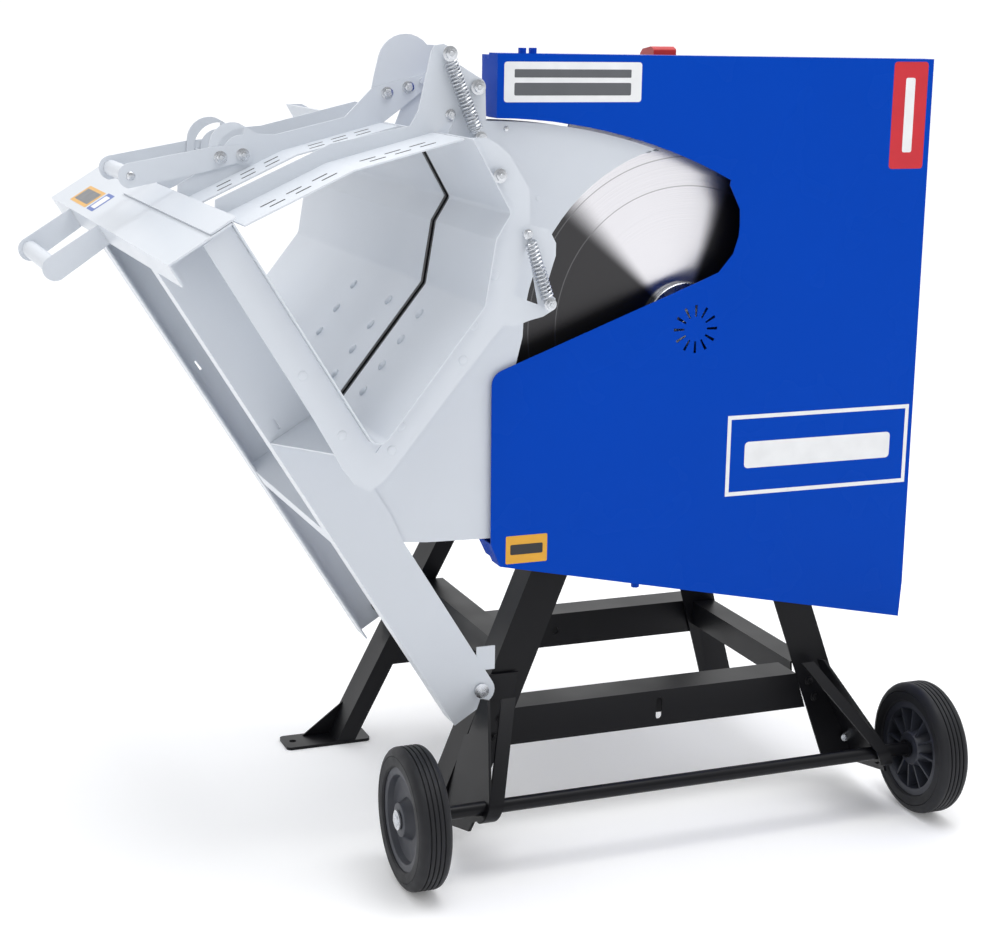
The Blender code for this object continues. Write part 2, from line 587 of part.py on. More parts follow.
def cradle_pieces():
    pieces = []
    pieces.append(trough("trough_front", CRADLE_NEAR, SLOT_NEAR))
    pieces.append(trough("trough_rear", SLOT_FAR, CRADLE_FAR))
    pieces.append(arm("arm_front", ARM_FRONT, 1))
    pieces.append(arm("arm_rear", ARM_REAR, -1))
    pieces.append(blade_cover("blade_cover_front", COVER_FRONT, 267, 71.4, 105.2))
    pieces.append(blade_cover("blade_cover_rear", COVER_REAR, 304, 76.0, 116.0))
    frame = end_frame("end_frame_front", -58)
    for x, z in ((86, 982), (158, 816), (125, 908)):
        frame = join(frame, rod("stud", (x, -71 if x != 86 else -65, z), (x, -57, z), 4.0, 16))
    pieces.append(frame)
    pieces.append(end_frame("end_frame_rear", 785.5))
    top = flat("top_plate", [(-65.5, CRADLE_NEAR), (26.5, CRADLE_NEAR), (26.5, CRADLE_FAR), (-65.5, CRADLE_FAR)],
               810, 812.5, SHELF)
    lip = flat("lip", [(-65.5, 780), (-63, 780), (-63, 811), (-65.5, 811)], CRADLE_NEAR, CRADLE_FAR, ARM)
    pieces.append(join(top, lip))
    shelf = [(-59, 302), (-59, 327), (16, 327), (16, 324.5), (-56.5, 324.5), (-56.5, 302)]
    pieces.append(cut(flat("cross_shelf", shelf, ARM_FRONT + 3 + FIT, ARM_REAR - FIT, ARM),
                      flat("room", [(-62, 290), (-56, 290), (-56, 330), (-62, 330)], 100, ARM_FRONT + 46, ARM),
                      flat("room", [(-62, 290), (-56, 290), (-56, 330), (-62, 330)], ARM_REAR - 46, 700, ARM)))
    gusset = [(-59, ARM_FRONT - FIT), (26.5, ARM_FRONT - FIT), (26.5, -55.2), (-18, -55.2)]
    pieces.append(flat("gusset_front", gusset, 489, 491.5, SHELF))
    for name, near in (("push_plate_front", 397.0), ("push_plate_rear", 629.0)):
        side = arc((-148.7, 792.5), 18, 100, 262, 10) + [(-66, 779), (-66, 811)]
        pieces.append(flat(name, side, near, near + 3, ARM))
    x, z = on_arm(-148.7, 792.5)
    pieces.append(rod("push_grip", (x, 400.3, z), (x, 628.7, z), 12.5, 32))
    pieces.append(box("rest_stop", (138, 127.3, 256), (166, 130.2, 291)))
    pieces.append(coil("cover_spring", (129, -64.5, 902), (156, -64.5, 822), 5.0, 1.0, 14, 8))
    for name, near in (("hinge_lug_front", JAW_FRONT + 2.8), ("hinge_lug_rear", JAW_MIDDLE + 5.6)):
        tab = arc(JAW_HINGE, 13, 20, 165, 8) + [(57, 1022), (101, 946), (114, 958)]
        lug = flat(name, tab, near, near + 2.5, XZ, [circle(JAW_HINGE, 5 + FIT, 20)])
        if name.endswith("front"):
            lug = join(lug, rod("stud", (96, 33, 1023), (96, 69, 1023), 4, 16))
        pieces.append(lug)
    shaft = rod("pivot_shaft", (PIVOT[0], 119.7, PIVOT[1]), (PIVOT[0], 597, PIVOT[1]), 8, 32)
    head = rod("head", (PIVOT[0], 119.7, PIVOT[1]), (PIVOT[0], ARM_FRONT - FIT, PIVOT[1]), 11, 32)
    nut = rod("nut", (PIVOT[0], ARM_REAR + 3 + FIT, PIVOT[1]), (PIVOT[0], 596, PIVOT[1]), 13, 6)
    pieces.append(join(shaft, head, nut))
    return pieces


# ---------------------------------------------------------------- jaw and its handle

JAW_UNDER = [(-245, 926), (-107, 990), (36, 1027)]


def jaw_web(name, near, upper, holes=()):
    outline = [(-253.3, 936.8)] + JAW_UNDER + upper
    return flat(name, outline, near, near + 2.5, XZ, holes)


def jaw_flange(near, far):
    return flat("flange", folded(beside(JAW_UNDER, -0.45), -2.0), near, far)


def stud_slot():
    """Curved slot about the handle's pivot."""
    return arc(HANDLE_PIVOT, 36, 86, 197, 12) + arc(HANDLE_PIVOT, 27, 197, 86, 10)


def jaw_pieces():
    pieces = []
    hinge_end = arc(JAW_HINGE, 12, -70, 60, 8)
    upper = hinge_end + [(66, 1119), (60, 1137), (50, 1142), (38, 1140), (33, 1132), (16, 1057), (5, 1038),
                         (-102, 1016), (-253, 948)]
    front = jaw_web("jaw_rail_front", JAW_FRONT, [(62, 1046)] + upper)
    front = join(front, jaw_flange(CRADLE_NEAR, JAW_FRONT + 1))
    front = join(front, rod("stud", (52, 33, 1130), (52, 69, 1130), 4, 16))
    pieces.append(join(front, rod("pin", (JAW_HINGE[0], 43, JAW_HINGE[1]), (JAW_HINGE[0], 58, JAW_HINGE[1]), 5, 20)))

    lug = arc((-176, 998), 33, 175, 75, 10)
    upper = hinge_end + [(23, 1077), (-17, 1037), (-116, 1014), (-140, 1015)] + lug[::-1] + [(-211, 972), (-253, 948)]
    pivot_hole = circle(HANDLE_PIVOT, 5 + FIT, 20)
    middle = jaw_web("jaw_rail_middle", JAW_MIDDLE, [(62, 1046)] + upper, [pivot_hole, stud_slot()])
    middle = join(middle, jaw_flange(187, JAW_MIDDLE + 1))
    pieces.append(join(middle, rod("pin", (JAW_HINGE[0], 260, JAW_HINGE[1]), (JAW_HINGE[0], 277, JAW_HINGE[1]), 5, 20)))

    upper = [(62, 1046), (40, 1052), (-101, 1018), (-140, 1015)] + lug[::-1] + [(-211, 972), (-253, 948)]
    rear = jaw_web("jaw_rail_rear", JAW_REAR, upper, [pivot_hole, stud_slot()])
    pieces.append(join(rear, jaw_flange(JAW_REAR + 1, 478)))

    plate = [(-2, -68), (36.2, -68), (36.2, 478), (-2, 478)]
    pieces.append(flat("jaw_end_plate", fillet(plate, 5), 813, 815.5, SHELF))
    fence = [(20, 1062), (60, 1060), (90, 1070), (112, 1092), (123, 1136)]
    crown = arc((73, 1110), 41, 40, 165, 10)
    pieces.append(flat("jaw_fence", fence + crown + [(27, 1095)], JAW_MIDDLE + 2.8, JAW_MIDDLE + 5.3, XZ,
                       [circle(JAW_HINGE, 5.6, 20)]))
    for name, y in (("jaw_spring_front", 40.5), ("jaw_spring_rear", 61.0)):
        pieces.append(coil(name, (54, y, 1125), (94, y, 1028), 5.0, 1.0, 24, 6))
    return pieces


def handle_pieces():
    """Clamping handle: two plates and a grip that turn on the jaw, with studs in its curved slots."""
    end = (-317, 961)
    outline = arc(end, 17, 102, 258, 10) + [(-205, 967), (-172, 976)] + arc(HANDLE_PIVOT, 14, -100, 80, 8)
    outline += [(-206, 998)]
    x, z = HANDLE_PIVOT
    stud = arc(HANDLE_PIVOT, 31.5, 186, 187, 1)[0]
    pieces = []
    for name, near, into in (("handle_plate_front", 260.9, 1), ("handle_plate_rear", 400.9, -1)):
        plate = flat(name, outline, near, near + 2.8)
        low, high = (near + 1, near + 9) if into > 0 else (near - 6, near + 2)
        plate = join(plate, rod("pin", (x, low, z), (x, high, z), 5, 20))
        pieces.append(join(plate, rod("stud", (stud[0], low, stud[1]), (stud[0], high, stud[1]), 3.6, 16)))
    grip = rod("handle_grip", (end[0], 264, end[1]), (end[0], 400.6, end[1]), 11, 28)
    pieces.append(grip)
    return pieces


# ---------------------------------------------------------------- assembly

def paint(obj, kind):
    colour, rough, metal = PAINTS[kind]
    material = bpy.data.materials.new(obj.name)
    material.use_nodes = True
    shader = material.node_tree.nodes["Principled BSDF"]
    shader.inputs["Base Color"].default_value = (*colour, 1)
    shader.inputs["Roughness"].default_value = rough
    shader.inputs["Metallic"].default_value = metal
    obj.data.materials.clear()
    obj.data.materials.append(material)


def place(obj, kind, origin, parent=None):
    """Give a piece its paint, and its origin on the axis that it turns about."""
    paint(obj, kind)
    obj.data.transform(Matrix.Translation(-origin))
    obj.location = origin
    if parent is not None:
        obj.parent = parent
        obj.matrix_parent_inverse = Matrix.Translation(-parent.location)


def axis_empty(name, point):
    empty = bpy.data.objects.new(name, None)
    empty.empty_display_size = 0.05
    empty.location = point
    bpy.context.scene.collection.objects.link(empty)
    return empty


def main():
    ground = Vector((0, 0, 0))
    for side in ("left", "right"):
        for end in ("front", "rear"):
            place(leg(f"leg_{end}_{side}", side, end), "black", ground)
        place(axle_bracket(f"axle_bracket_{side}", side), "black", ground)
    left_edge, right_edge = GROUND_LEFT + 62 + FIT, GROUND_RIGHT - 62 - FIT
    place(channel_rail("rail_front", 133, 57, ((left_edge, LEAN_LEFT), (right_edge, LEAN_RIGHT)), (5, 17)), "black", ground)
    inner = ((GROUND_LEFT + STEEL + FIT, LEAN_LEFT), (GROUND_RIGHT - STEEL - FIT, LEAN_RIGHT))
    place(channel_rail("rail_rear", 534, 54, inner, (6, 6.2)), "black", ground)
    place(side_rail("rail_left", 185, 40, 280, 40), "black", ground)
    place(side_rail("rail_right", 692, 39, 190, 40), "black", ground)
    place(pivot_lug("pivot_lug_front", 130.5, 134.6), "black", ground)
    place(pivot_lug("pivot_lug_rear", 582.5, 585.9), "black", ground)
    place(motor_mount(), "black", ground)
    place(axle(), "black", at(0, 0, AXLE_HEIGHT))
    for side, x in (("left", 0), ("right", TRACK)):
        hub = at(x, 0, AXLE_HEIGHT)
        wheel_axis = axis_empty(f"wheel_{side}_axis", hub)
        rim, tyre = wheel(side)
        place(rim, "plastic", hub, wheel_axis)
        place(tyre, "rubber", hub, wheel_axis)

    place(guard_front(), "blue", ground)
    place(guard_rear(), "blue", ground)
    arbor = at(BLADE[0], BLADE_NEAR, BLADE[1])
    blade_axis = axis_empty("blade_axis", arbor)
    place(saw_blade(), "steel", arbor, blade_axis)
    place(spindle(), "zinc", arbor, blade_axis)
    face = BLADE_NEAR - 2 * FIT
    clamp = [(12 + FIT, face - 9.6), (62, face - 9.6), (63, face - 8.6), (63, face), (50, face),
             (48, face - 1), (12 + FIT, face - 1)]
    place(turned("outer_flange", clamp[::-1], (BLADE[0], 0, BLADE[1]), "Y", 48), "zinc", arbor, blade_axis)
    place(flat("arbor_nut", circle(BLADE, 21, 6), face - 18, face - 9.9, XZ, [circle(BLADE, 12 + FIT, 32)]), "zinc", arbor, blade_axis)
    housing, fan_cover = motor()
    place(housing, "black", arbor)
    place(fan_cover, "plastic", arbor)
    switch, button, flap, plug = controls()
    place(switch, "plastic", ground)
    place(button, "green", at(412, 220, 1111.5))
    place(flap, "red", at(443, 248, 1118.4))
    place(plug, "plastic", ground)

    zinc = ("pivot_shaft", "cover_spring", "jaw_spring_front", "jaw_spring_rear")
    pivot = at(PIVOT[0], ARM_FRONT, PIVOT[1])
    cradle_axis = axis_empty("cradle_axis", pivot)
    for piece in cradle_pieces():
        place(piece, "zinc" if piece.name in zinc else "white", pivot, cradle_axis)
    hinge = at(JAW_HINGE[0], JAW_FRONT, JAW_HINGE[1])
    jaw_axis = axis_empty("jaw_axis", hinge)
    for piece in jaw_pieces():
        place(piece, "zinc" if piece.name in zinc else "white", hinge, jaw_axis)
    grip = at(HANDLE_PIVOT[0], JAW_MIDDLE, HANDLE_PIVOT[1])
    handle_axis = axis_empty("handle_axis", grip)
    for piece in handle_pieces():
        place(piece, "white", grip, handle_axis)


main()
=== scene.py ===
import math

import bmesh
import bpy
from mathutils import Matrix, Vector


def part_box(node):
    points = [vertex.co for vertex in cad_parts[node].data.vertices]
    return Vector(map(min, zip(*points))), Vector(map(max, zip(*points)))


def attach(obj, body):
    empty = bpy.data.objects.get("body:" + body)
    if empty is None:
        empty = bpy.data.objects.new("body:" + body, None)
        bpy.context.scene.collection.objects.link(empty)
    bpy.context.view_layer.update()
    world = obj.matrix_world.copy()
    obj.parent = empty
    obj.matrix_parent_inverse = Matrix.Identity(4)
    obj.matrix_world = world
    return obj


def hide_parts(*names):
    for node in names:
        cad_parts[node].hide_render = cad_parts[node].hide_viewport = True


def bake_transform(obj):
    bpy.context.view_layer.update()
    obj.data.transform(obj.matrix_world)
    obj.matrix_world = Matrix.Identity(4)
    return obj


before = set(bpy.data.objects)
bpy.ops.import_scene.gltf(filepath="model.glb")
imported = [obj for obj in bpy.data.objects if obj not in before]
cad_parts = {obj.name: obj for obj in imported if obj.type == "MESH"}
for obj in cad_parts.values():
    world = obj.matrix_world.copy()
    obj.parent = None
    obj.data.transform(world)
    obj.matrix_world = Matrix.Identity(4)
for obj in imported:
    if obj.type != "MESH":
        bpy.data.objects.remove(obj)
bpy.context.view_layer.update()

MM = 0.001
WELD = 0.00002


def middle_of(node):
    low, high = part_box(node)
    return (Vector(low) + Vector(high)) / 2


WHEEL_CENTRE = middle_of("tyre_left")
TRACK = (middle_of("tyre_right") - WHEEL_CENTRE).x / MM
BLADE_CENTRE = middle_of("saw_blade")
WHEEL_RADIUS, WHEEL_WIDE = 100.0, 47.0
AXLE_RADIUS, AXLE_PLAY = 10.0, 0.3

# Places are in millimetres: X and Y from the left wheel's centre, Z from the ground.
GUARD_FACE = 120.0
SLOT_NEAR, SLOT_FAR = 156.0, 178.0
# (X, Z) corners of the trough's section, and of the underside of the jaw
TROUGH = [(-259, 932), (-75, 637), (66, 817), (80, 902), (100, 935), (47, 1028)]
JAW_UNDER = [(-245, 926), (-107, 990), (36, 1027)]
# the cradle's shaft, and the directions along and across the arms that rise from it
PIVOT = Vector((143.9, 0, 226.9))
ALONG = Vector((-0.527, 0, 0.85)).normalized()
ACROSS = Vector((0.85, 0, 0.527)).normalized()
TOP_PLATE_HEIGHT = 812.6


def at(x, y, z):
    """A place in millimetres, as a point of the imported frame."""
    return WHEEL_CENTRE + Vector((x, y, z - WHEEL_RADIUS)) * MM


# ---------------------------------------------------------------- materials

NOISE_SPAN = (0.3, 0.7)


def map_range(tree, value, span, result, smooth=False):
    """Node output that carries the value from one span to another."""
    node = tree.nodes.new("ShaderNodeMapRange")
    node.interpolation_type = "SMOOTHSTEP" if smooth else "LINEAR"
    tree.links.new(value, node.inputs["Value"])
    for socket, number in zip(("From Min", "From Max", "To Min", "To Max"), (*span, *result)):
        node.inputs[socket].default_value = number
    return node.outputs["Result"]


class Paint:
    """A node material with a Principled shader and a few helpers."""

    def __init__(self, name, colour, roughness, metallic=0.0, **constants):
        self.material = bpy.data.materials.new(name)
        self.material.use_nodes = True
        self.tree = self.material.node_tree
        self.shader = self.tree.nodes["Principled BSDF"]
        self.colour = (*colour, 1)
        self.roughness = roughness
        self.set(self.shader, "Base Color", self.colour)
        self.set(self.shader, "Roughness", roughness)
        self.set(self.shader, "Metallic", metallic)
        for socket, value in constants.items():
            self.set(self.shader, socket.replace("_", " "), value)

    def set(self, node, socket, value):
        node.inputs[socket].default_value = value

    def add(self, kind, **settings):
        node = self.tree.nodes.new(kind)
        for key, value in settings.items():
            setattr(node, key, value)
        return node

    def link(self, out, into):
        self.tree.links.new(out, into)

    def math(self, operation, *values):
        node = self.add("ShaderNodeMath", operation=operation)
        for socket, value in zip(node.inputs, values):
            if isinstance(value, (int, float)):
                socket.default_value = value
            else:
                self.link(value, socket)
        return node.outputs[0]

    def noise(self, scale):
        node = self.add("ShaderNodeTexNoise")
        self.set(node, "Scale", scale)
        self.link(self.add("ShaderNodeTexCoord").outputs["Object"], node.inputs["Vector"])
        return node.outputs["Fac"]

    def roughen(self, scale, low, high):
        """Gloss that varies softly, between two shares of the paint's roughness."""
        result = (self.roughness * low, self.roughness * high)
        gloss = map_range(self.tree, self.noise(scale), NOISE_SPAN, result)
        self.link(gloss, self.shader.inputs["Roughness"])

    def bump(self, height, strength, distance):
        node = self.add("ShaderNodeBump")
        self.set(node, "Strength", strength)
        self.set(node, "Distance", distance)
        self.link(height, node.inputs["Height"])
        self.link(node.outputs["Normal"], self.shader.inputs["Normal"])

    def tint(self, value, dark, light):
        """The paint's colour between a darker and a lighter shade of itself."""
        node = self.add("ShaderNodeMix", data_type="RGBA")
        self.link(value, node.inputs["Factor"])
        colours = [socket for socket in node.inputs if socket.type == "RGBA"]
        colours[0].default_value = tuple(c * dark for c in self.colour[:3]) + (1,)
        colours[1].default_value = tuple(min(1, c * light) for c in self.colour[:3]) + (1,)
        result = [socket for socket in node.outputs if socket.type == "RGBA"][0]
        self.link(result, self.shader.inputs["Base Color"])


def powder_coat(name, colour, roughness, grain, spread=0.04, **constants):
    """Baked powder paint: fine orange peel, slight change of gloss and shade."""
    paint = Paint(name, colour, roughness, **constants)
    paint.roughen(9.0, 0.88, 1.14)
    paint.tint(paint.noise(5.0), 1 - spread, 1 + spread)
    paint.bump(paint.noise(1400.0), grain, 0.0002)
    return paint.material


def moulded(name, colour, roughness, grain=0.12, **constants):
    """Moulded plastic or rubber with a fine grain."""
    paint = Paint(name, colour, roughness, **constants)
    paint.tint(paint.noise(30.0), 0.9, 1.1)
    paint.roughen(60.0, 0.9, 1.1)
    paint.bump(paint.noise(2500.0), grain, 0.0002)
    return paint.material


def zinc_plate(name, colour, roughness):
    """Bright plating with a slightly clouded gloss."""
    paint = Paint(name, colour, roughness, 1.0)
    paint.tint(paint.noise(60.0), 0.93, 1.04)
    paint.roughen(90.0, 0.8, 1.25)
    paint.bump(paint.noise(1800.0), 0.02, 0.0001)
    return paint.material


SCRIBED_RINGS = (0.202, 0.244, 0.285)
# painted highlight on the blade: its bearing and half-widths in degrees, and the base colour outside and
# inside it
PAINTED_SHEEN_BEARING = 105.0
PAINTED_SHEEN_INNER, PAINTED_SHEEN_OUTER = 24.0, 36.0
PAINTED_SHEEN_DARK, PAINTED_SHEEN_LIGHT = 0.062, 0.84


def blade_steel():
    """Ground steel: fine circles about the arbor, three scribed rings, and a painted highlight: the base
    colour is light in a sector on each side of the arbor and dark elsewhere.
    """
    paint = Paint("ground blade steel with painted sheen", (0.50, 0.505, 0.52), 0.27, 1.0, Anisotropic=0.85)
    shift = paint.add("ShaderNodeVectorMath", operation="SUBTRACT")
    shift.inputs[1].default_value = BLADE_CENTRE
    paint.link(paint.add("ShaderNodeTexCoord").outputs["Object"], shift.inputs[0])
    split = paint.add("ShaderNodeSeparateXYZ")
    paint.link(shift.outputs[0], split.inputs[0])
    x, z = split.outputs["X"], split.outputs["Z"]
    square = paint.math("ADD", paint.math("MULTIPLY", x, x), paint.math("MULTIPLY", z, z))
    radius = paint.math("SQRT", square)
    rings = paint.add("ShaderNodeTexNoise", noise_dimensions="1D")
    paint.set(rings, "Scale", 900.0)
    paint.set(rings, "Detail", 5.0)
    paint.link(radius, rings.inputs["W"])
    # degrees away from the painted highlight's bearing, the same on opposite sides of the arbor
    bearing = paint.math("ARCTAN2", z, x)
    turn = paint.math("MULTIPLY_ADD", bearing, 180 / math.pi, 360.0 - PAINTED_SHEEN_BEARING + 90.0)
    away = paint.math("ABSOLUTE", paint.math("SUBTRACT", paint.math("MODULO", turn, 180.0), 90.0))
    # painted highlight: light base colour near the bearing, dark base colour away from it
    painted_sheen = map_range(paint.tree, away, (PAINTED_SHEEN_OUTER, PAINTED_SHEEN_INNER), (PAINTED_SHEEN_DARK, PAINTED_SHEEN_LIGHT), True)
    fine = map_range(paint.tree, rings.outputs["Fac"], NOISE_SPAN, (0.93, 1.05))
    shade = paint.math("MULTIPLY", painted_sheen, fine)
    for ring in SCRIBED_RINGS:
        distance = paint.math("ABSOLUTE", paint.math("SUBTRACT", radius, ring))
        line = paint.math("LESS_THAN", distance, 0.0007)
        dim = paint.math("SUBTRACT", 1.0, paint.math("MULTIPLY", line, 0.6))
        shade = paint.math("ADD", paint.math("MULTIPLY", shade, dim), paint.math("MULTIPLY", line, 0.12))
    colour = paint.add("ShaderNodeCombineColor")
    for channel, share in (("Red", 0.98), ("Green", 0.965), ("Blue", 1.0)):
        paint.link(paint.math("MULTIPLY", shade, share), colour.inputs[channel])
    paint.link(colour.outputs["Color"], paint.shader.inputs["Base Color"])
    tangent = paint.add("ShaderNodeTangent", direction_type="RADIAL", axis="Y")
    paint.link(tangent.outputs["Tangent"], paint.shader.inputs["Tangent"])
    paint.bump(rings.outputs["Fac"], 0.06, 0.0001)
    return paint.material


PAINTS = {
    "black_paint": powder_coat("black powder coat", (0.0050, 0.0051, 0.0066), 0.36, 0.10,
                               Specular_IOR_Level=0.2),
    "blue_paint": powder_coat("blue powder coat", (0.0, 0.053, 0.44), 0.26, 0.03, 0.03,
                              Specular_IOR_Level=0.05),
    "white_paint": powder_coat("pale grey powder coat", (0.63, 0.665, 0.715), 0.34, 0.06, 0.02,
                               Specular_IOR_Level=0.4),
    "blade_steel": blade_steel(),
    "zinc": zinc_plate("zinc plate", (0.62, 0.64, 0.67), 0.26),
    "tyre_rubber": moulded("tyre rubber", (0.009, 0.0095, 0.012), 0.58, Specular_IOR_Level=0.35),
    "black_plastic": moulded("grained plastic", (0.028, 0.031, 0.042), 0.45),
    "green_plastic": moulded("green plastic", (0.01, 0.22, 0.04), 0.35),
    "red_plastic": moulded("red plastic", (0.50, 0.012, 0.016), 0.35),
}
STICKER_WHITE = moulded("white label", (0.80, 0.81, 0.82), 0.35, 0.02)
STICKER_BLACK = moulded("black print", (0.012, 0.012, 0.014), 0.35, 0.02)
STICKER_GREY = moulded("grey print", (0.10, 0.105, 0.115), 0.35, 0.02)
STICKER_RED = moulded("red print", (0.56, 0.010, 0.022), 0.33, 0.02)
STICKER_YELLOW = moulded("yellow print", (0.72, 0.36, 0.02), 0.35, 0.02)
STICKER_BLUE = moulded("blue print", (0.02, 0.09, 0.40), 0.35, 0.02)
# painted shade: dark patches that stand for the shade inside the jaw's slits
SLIT_PAINTED_SHADE = moulded("shadowed slit", (0.05, 0.052, 0.055), 0.8, 0.02)
# painted shade: black for the strips that stand for the shade seen through the blade slot
SLOT_SHADE_BLACK = moulded("slot liner", (0.006, 0.006, 0.007), 0.45)

CRISP = math.radians(32)
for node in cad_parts.values():
    kind = node.data.materials[0].name.split(".")[0]
    node.data.materials[0] = PAINTS[kind]
    node.data.polygons.foreach_set("use_smooth", [True] * len(node.data.polygons))
    node.modifiers.new("weld", "WELD").merge_threshold = WELD
    split = node.modifiers.new("crisp edges", "EDGE_SPLIT")
    split.split_angle = CRISP


# ---------------------------------------------------------------- modelling helpers

def wrap(name, mesh, material, place=None):
    """Weld a mesh, place it, shade it and make it an object."""
    work = bmesh.new()
    work.from_mesh(mesh)
    bmesh.ops.remove_doubles(work, verts=work.verts, dist=WELD)
    if place is not None:
        work.transform(place)
    bmesh.ops.recalc_face_normals(work, faces=work.faces)
    if work.calc_volume(signed=True) < 0:
        bmesh.ops.reverse_faces(work, faces=work.faces)
    for face in work.faces:
        face.smooth = True
    work.to_mesh(mesh)
    work.free()
    mesh.materials.clear()
    mesh.materials.append(material)
    obj = bpy.data.objects.new(name.replace(" ", "_"), mesh)
    bpy.context.scene.collection.objects.link(obj)
    mesh.set_sharp_from_angle(angle=CRISP)
    return obj


def bake(obj):
    """The object's evaluated mesh in world space; the object itself is removed."""
    bpy.context.view_layer.update()
    graph = bpy.context.evaluated_depsgraph_get()
    mesh = bpy.data.meshes.new_from_object(obj.evaluated_get(graph))
    mesh.transform(obj.matrix_world)
    bpy.data.objects.remove(obj, do_unlink=True)
    return mesh


def plane(u, v, w, origin=(0, 0, 0), height=0.0):
    """Matrix that stands a drawing up: u and v are its axes, w its thickness."""
    u, v, w, origin = Vector(u), Vector(v), Vector(w), Vector(origin)
    place = at(*(origin + w * height))
    columns = list(zip(u, v, w))
    return Matrix([list(row) + [place[i]] for i, row in enumerate(columns)] + [[0, 0, 0, 1]])


def flat(name, loops, thick, place, material):
    """A filled outline with holes; `loops` holds the outline and then its holes."""
    curve = bpy.data.curves.new(name, "CURVE")
    curve.dimensions = "2D"
    curve.fill_mode = "BOTH"
    curve.extrude = thick / 2 * MM
    for loop in loops:
        spline = curve.splines.new("POLY")
        spline.points.add(len(loop) - 1)
        for point, (u, v) in zip(spline.points, loop):
            point.co = (u * MM, v * MM, 0, 1)
        spline.use_cyclic_u = True
    obj = bpy.data.objects.new(name, curve)
    bpy.context.scene.collection.objects.link(obj)
    return wrap(name, bake(obj), material, place)


def round_box(left, right, bottom, top, radius, steps=5):
    """Outline of a rectangle with round corners."""
    points = []
    for corner, (x, z) in enumerate([(right - radius, top - radius), (left + radius, top - radius),
                                     (left + radius, bottom + radius), (right - radius, bottom + radius)]):
        for i in range(steps + 1):
            a = math.radians(90 * corner + 90 * i / steps)
            points.append((x + radius * math.cos(a), z + radius * math.sin(a)))
    return points


def turned(name, profile, middle, direction, material, steps=96):
    """A turned piece: (radius, height) from top to bottom, along a direction."""
    mesh = bpy.data.meshes.new(name)
    edges = [(i, i + 1) for i in range(len(profile) - 1)]
    if min(radius for radius, height in profile) > 0:
        edges.append((len(profile) - 1, 0))
    mesh.from_pydata([(radius * MM, 0, height * MM) for radius, height in profile], edges, [])
    obj = bpy.data.objects.new(name, mesh)
    bpy.context.scene.collection.objects.link(obj)
    screw = obj.modifiers.new("turn", "SCREW")
    screw.steps = screw.render_steps = steps
    screw.use_merge_vertices = True
    screw.merge_threshold = WELD
    turn = Vector(direction).to_track_quat("Z", "Y").to_matrix().to_4x4()
    return wrap(name, bake(obj), material, Matrix.Translation(at(*middle)) @ turn)


def group(name, pieces):
    """Joins several meshes into one piece."""
    work = bmesh.new()
    for piece in pieces:
        work.from_mesh(piece.data)
    mesh = bpy.data.meshes.new(name)
    work.to_mesh(mesh)
    work.free()
    mesh.materials.append(pieces[0].data.materials[0])
    for piece in pieces:
        bpy.data.objects.remove(piece, do_unlink=True)
    obj = bpy.data.objects.new(name.replace(" ", "_"), mesh)
    bpy.context.scene.collection.objects.link(obj)
    mesh.set_sharp_from_angle(angle=CRISP)
    return obj


WASHER = 1.2


def bolt(name, place, direction, size, material=None):
    """Hex head of corner radius `size`; `place` is the centre of the washer's underside."""
    material = material or PAINTS["zinc"]
    top = WASHER + size * 0.72
    wide, tip = size * 1.42, size * 0.46
    washer = [(0, WASHER), (size * 1.3, WASHER), (wide, WASHER - 0.3), (wide, 0), (0, 0)]
    head = [(0, top), (size * 0.82, top), (size, top - 0.6), (size, WASHER), (0, WASHER)]
    end = [(0, top + 1), (size * 0.40, top + 1), (tip, top + 0.4), (tip, top - WASHER), (0, top - WASHER)]
    parts = [turned("bolt", profile, place, direction, material, steps)
             for profile, steps in ((washer, 28), (head, 6), (end, 20))]
    return group(name, parts)


def dome(name, place, direction, radius, height, material):
    """Low round head that stands on a surface."""
    angles = [math.radians(15 * i) for i in range(7)]
    profile = [(radius * math.sin(a), height * math.cos(a)) for a in angles]
    return turned(name, profile + [(radius, -0.6), (0, -0.6)], place, direction, material, 20)


SPRING_LEAD, HOOK_RADIUS, COIL_STEPS = 9.0, 5.2, 18


def spring(name, start, end, radius, wire, turns, material):
    """Close-wound tension spring with a hook round the stud at each end."""
    start, end = Vector(start), Vector(end)
    axis = (end - start).normalized()
    side = Vector((0, 1, 0))
    other = axis.cross(side)
    length = (end - start).length - 2 * SPRING_LEAD
    points = []
    for i in range(9):
        a = math.radians(300 - 30 * i)
        points.append(start + (other * math.cos(a) + axis * math.sin(a)) * HOOK_RADIUS)
    for i in range(turns * COIL_STEPS + 1):
        a = 2 * math.pi * i / COIL_STEPS
        middle = start + axis * (SPRING_LEAD + length * i / (turns * COIL_STEPS))
        points.append(middle + (side * math.cos(a) + other * math.sin(a)) * radius)
    for i in range(9):
        a = math.radians(60 - 30 * i)
        points.append(end + (other * math.cos(a) + axis * math.sin(a)) * HOOK_RADIUS)
    curve = bpy.data.curves.new(name, "CURVE")
    curve.dimensions = "3D"
    curve.bevel_depth = wire * MM
    curve.bevel_resolution = 2
    curve.use_fill_caps = True
    spline = curve.splines.new("POLY")
    spline.points.add(len(points) - 1)
    for point, place in zip(spline.points, points):
        point.co = (*at(*place), 1)
    obj = bpy.data.objects.new(name, curve)
    bpy.context.scene.collection.objects.link(obj)
    return wrap(name, bake(obj), material)


def upright(y):
    """Drawing plane across the machine at depth y."""
    return plane((1, 0, 0), (0, 0, 1), (0, 1, 0), height=y)


def fit(piece, body):
    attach(piece, body)


# ---------------------------------------------------------------- wheels

RIBS = 12


